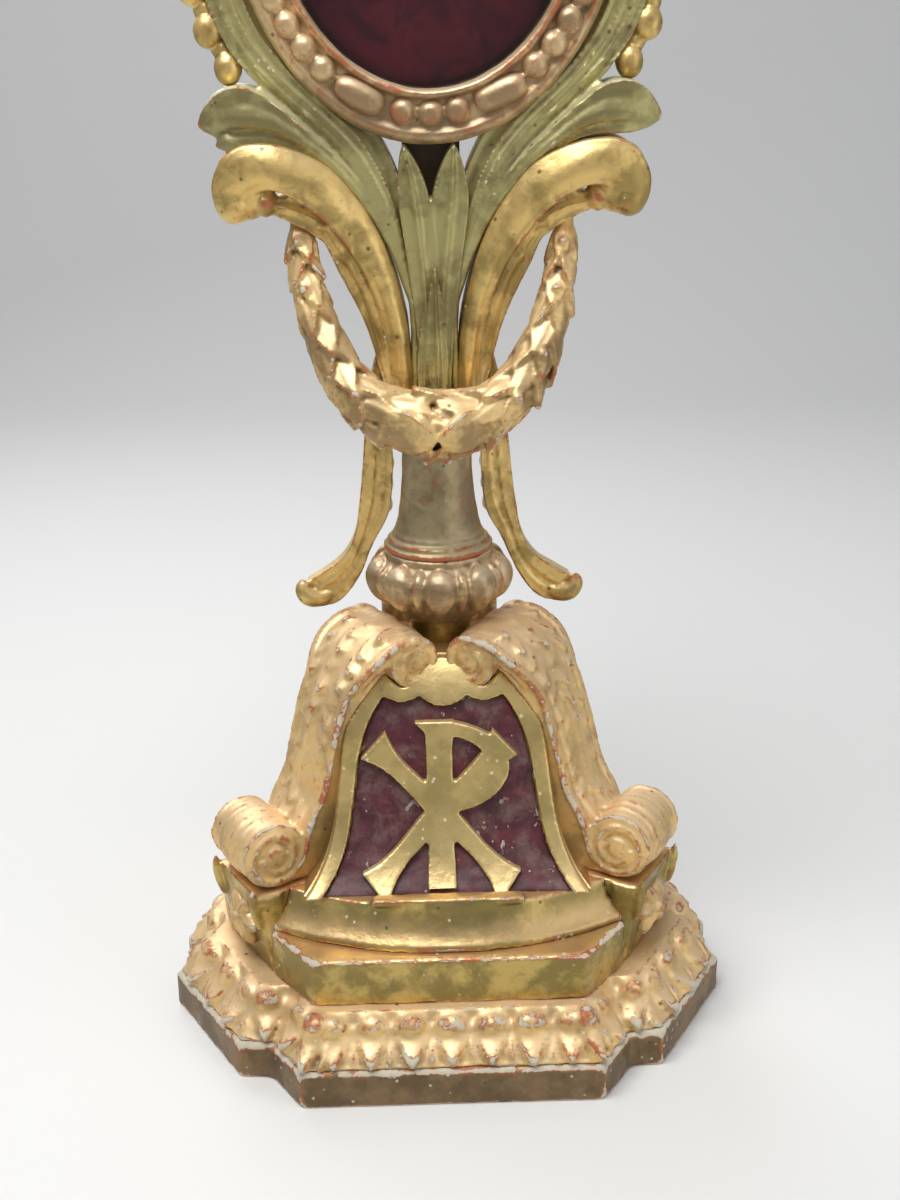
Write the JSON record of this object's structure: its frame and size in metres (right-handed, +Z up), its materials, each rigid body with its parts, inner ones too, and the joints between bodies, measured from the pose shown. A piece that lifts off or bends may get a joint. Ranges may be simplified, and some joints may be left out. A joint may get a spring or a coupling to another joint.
{
  "type": "monstrance",
  "caption": "Carved and gilded table monstrance: three-sided scroll base, gadrooned stem, leaf garland and a glazed oval relic frame with a hinged back door.",
  "frame": {"origin": "on the stem's axis, at the underside of the plinth", "axes": "+Z up along the stem; -Y towards the front face with the sunk emblem panel; +X to the viewer's right"},
  "size_m": [0.2102, 0.2016, 0.561],
  "materials": {
    "plinth_wood": "brown bronze-gold glaze over wood, worn along the edges",
    "base_gilding": "water gilding on gesso, olive in the shade, burnished flats",
    "worn_gilding": "matt gilding rubbed to orange-red bole, with chalky losses",
    "burnished_gold": "burnished yellow gold leaf",
    "purple_panel": "dark crimson-purple paint, flaked to pale ground",
    "knob_gilding": "rubbed gilding with grey and red wear",
    "green_gilding": "pale greenish silver-gold leaf",
    "bare_wood": "plain old walnut-coloured wood",
    "leaf_gold": "warm gold leaf, red bole on the high points",
    "frame_gilding": "gilding worn brown and pink on the beads",
    "clear_glass": "thin clear glass",
    "back_paint": "plain ochre-painted back, hand-planed",
    "velvet": "dark crimson velvet",
    "hinge_brass": "aged brass",
    "steel_pin": "dull old steel"
  },
  "bodies": {
    "stand": {"back_flower": "worn_gilding", "back_left_panel": "purple_panel", "back_left_sill": "base_gilding", "back_left_surround": "burnished_gold", "back_pedestal": "base_gilding", "back_right_panel": "purple_panel", "back_right_sill": "base_gilding", "back_right_surround": "burnished_gold", "back_ring": "back_paint", "back_scroll": "worn_gilding", "base_core": "base_gilding", "button_screw": "steel_pin", "christogram": "burnished_gold", "column": "green_gilding", "crest": "leaf_gold", "frame_beads": "frame_gilding", "frame_hinge_leaves": "hinge_brass", "frame_hinge_screws": "steel_pin", "front_panel": "purple_panel", "front_sill": "base_gilding", "front_surround": "burnished_gold", "garland": "leaf_gold", "glass_pane": "clear_glass", "glazing_bead": "frame_gilding", "hinge_pins": "steel_pin", "knob": "knob_gilding", "lance_leaves": "green_gilding", "leaf_moulding": "base_gilding", "left_acanthus": "leaf_gold", "left_berries": "leaf_gold", "left_blade": "green_gilding", "left_drop": "leaf_gold", "left_flower": "worn_gilding", "left_pedestal": "base_gilding", "left_scroll": "worn_gilding", "lower_bract": "green_gilding", "oval_frame": "frame_gilding", "plinth": "plinth_wood", "right_acanthus": "leaf_gold", "right_berries": "leaf_gold", "right_blade": "green_gilding", "right_drop": "leaf_gold", "right_flower": "worn_gilding", "right_pedestal": "base_gilding", "right_scroll": "worn_gilding", "spine": "bare_wood", "stem_dowel": "bare_wood", "step_board": "base_gilding"},
    "back_door": {"back_door": "back_paint", "velvet_pad": "velvet", "door_hinge_leaves": "hinge_brass", "door_hinge_screws": "steel_pin"},
    "turn_button": {"turn_button": "hinge_brass"}
  },
  "joints": [
    {"name": "door_hinge", "type": "hinge", "parent": "stand", "child": "back_door", "pos_m": [0.0573, 0.0178, 0.403], "axis": [0, 0, -1], "range_deg": [0, 110]},
    {"name": "button_turn", "type": "hinge", "parent": "stand", "child": "turn_button", "pos_m": [-0.0618, 0.016, 0.403], "axis": [0, 1, 0], "range_deg": [0, 90]}
  ]
}
